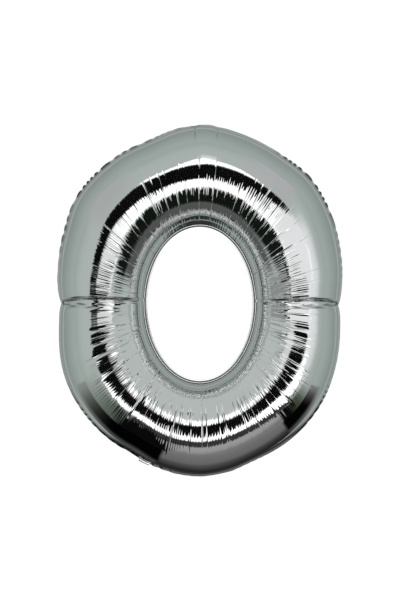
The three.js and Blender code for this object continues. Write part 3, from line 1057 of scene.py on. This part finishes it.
def backSheet(name, innerRadius, outerRadius, distance, colour, fade, span=(0, 360)):
    # A flat ring behind the digit that fades at both edges and, if not a full turn, at its ends.
    degrees = np.linspace(*span, 97).reshape(-1, 1)
    radius = innerRadius + (outerRadius - innerRadius) * np.linspace(0, 1, 13).reshape(1, -1)
    turn = np.radians(degrees)
    points = np.stack(np.broadcast_arrays(middleX + radius * np.cos(turn), distance,
                                          middleZ + radius * np.sin(turn)), -1)
    glow = smooth(outerRadius, outerRadius - fade, radius) + 0 * degrees
    if innerRadius > 0:
        glow = glow * smooth(innerRadius, innerRadius + fade, radius)
    if span[1] - span[0] < 360:
        glow = glow * endFade(degrees, *span, 15)
    glowMesh(name, points, gridFaces(*glow.shape, (0, 3, 2, 1))[0], glow, colour)


def backSheets():
    backSheet("darkBackdrop", 0.0, 0.75, 1.4, (0.004, 0.004, 0.004), 0.08)
    backSheet("paleBackRing", 1.5, 2.1, 1.42, (0.37, 0.39, 0.38), 0.15)
    backSheet("darkBackUnder", 0.6, 1.9, 1.41, (0.03, 0.03, 0.03), 0.12, (225, 320))
    print("reflecting sheets")


# Tones of the room that the foil reflects, from straight in front of the digit (0) to behind (1).
roomTones = [
    (0.0, (1.5, 1.5, 1.5)), (0.04, (1.5, 1.5, 1.5)), (0.06, (0.38, 0.42, 0.40)),
    (0.45, (0.345, 0.39, 0.37)), (0.75, (0.26, 0.30, 0.285)), (1.0, (0.25, 0.29, 0.275)),
]


def worldLight():
    # White to the camera and to matt surfaces. The foil reflects a grey-green room: white
    # straight ahead of the digit, then even, then darker towards the back.
    world = bpy.data.worlds.new("studio")
    bpy.context.scene.world = world
    world.use_nodes = True
    nodes, links = world.node_tree.nodes, world.node_tree.links
    nodes.clear()
    coordinates = nodes.new("ShaderNodeTexCoord")
    parts = nodes.new("ShaderNodeSeparateXYZ")
    links.new(coordinates.outputs["Generated"], parts.inputs[0])
    ramp = nodes.new("ShaderNodeValToRGB")
    while len(ramp.color_ramp.elements) < len(roomTones):
        ramp.color_ramp.elements.new(0.5)
    for element, (place, colour) in zip(ramp.color_ramp.elements, roomTones):
        element.position = place
        element.color = (*colour, 1)
    half = mathNode(nodes, links, "MULTIPLY", parts.outputs[1], 0.5)
    links.new(mathNode(nodes, links, "ADD", half, 0.5), ramp.inputs[0])
    glossy = nodes.new("ShaderNodeLightPath").outputs["Is Glossy Ray"]
    background = nodes.new("ShaderNodeBackground")
    seen = colourMix(nodes, links, glossy, (1, 1, 1, 1), ramp.outputs[0])
    links.new(seen, background.inputs["Color"])
    result = nodes.new("ShaderNodeOutputWorld")
    links.new(background.outputs[0], result.inputs[0])
    print("room")


floorLook = {
    "height": -0.62,
    "light": (0.93, 0.93, 0.92, 1), "dark": (0.88, 0.88, 0.87, 1),
    "toneAt": [-0.3, 0.0, 0.06, 0.2, 0.4, 0.75],     # metres back from the digit, and the
    "tone": [0.16, 0.13, 0.09, 0.05, 0.025, 0.012],  # floor's tone in the foil there
    "outerTone": [0.06, 0.26],    # outside the strips, at 0.8 and 2.2 metres to the side
    "stripDarkness": 0.99,
}


def paleFloor():
    # Pale to the camera. To mirror rays it glows instead with a painted reflection: grey between
    # two black strips, darker to the back. Grid: metres to the right by metres back.
    x, y = np.meshgrid(np.linspace(-2.2, 2.2, 221), np.linspace(-2.6, 0.75, 120), indexing="ij")
    grey = np.interp(y, floorLook["toneAt"], floorLook["tone"])
    outer = np.interp(np.abs(x), [0.8, 2.2], floorLook["outerTone"])
    tone = grey + (outer - grey) * np.maximum(smooth(-0.36, -0.40, x), smooth(0.80, 0.84, x))
    strips = smooth(-0.34, -0.38, x) * smooth(-2.0, -0.8, x)
    strips = strips + smooth(0.80, 0.84, x) * smooth(2.4, 1.3, x)
    tone = tone * (1 - strips * smooth(0.6, 0.2, y) * floorLook["stripDarkness"])
    paint = np.stack([tone, tone * (1 + 0.1 * (x < -0.4)), tone], -1).reshape(-1, 3)
    points = np.stack([x, y, floorLook["height"] + 0 * x], -1)
    floor = sheetMesh("floor", points, gridFaces(*tone.shape)[0], paint)
    material, nodes, links, shader = newMaterial("paleFloor")
    shader.inputs["Roughness"].default_value = 0.8
    coordinates = nodes.new("ShaderNodeTexCoord")
    noise = noiseNode(nodes, links, coordinates.outputs["Object"], 3, 2)
    tone = colourMix(nodes, links, noise, floorLook["light"], floorLook["dark"])
    links.new(tone, shader.inputs["Base Color"])
    # Emission seen only by mirror rays: the floor's painted reflection.
    glow = nodes.new("ShaderNodeEmission")
    links.new(named(nodes, "paint")["Color"], glow.inputs["Color"])
    mix = nodes.new("ShaderNodeMixShader")
    links.new(nodes.new("ShaderNodeLightPath").outputs["Is Glossy Ray"], mix.inputs[0])
    links.new(shader.outputs[0], mix.inputs[1])
    links.new(glow.outputs[0], mix.inputs[2])
    links.new(mix.outputs[0], nodes["Material Output"].inputs[0])
    floor.data.materials.append(material)
    print("floor")


studioCamera()
groups = {"tone": filmToneGroup(), "crinkle": filmCrinkleGroup(), "emboss": embossGroup()}
makePanels(groups)
makeSeals(groups)
makeValve(groups)
makeTail(groups)
worldLight()
paleFloor()
makeReflector()
backSheets()
bpy.context.scene.view_settings.view_transform = "Standard"
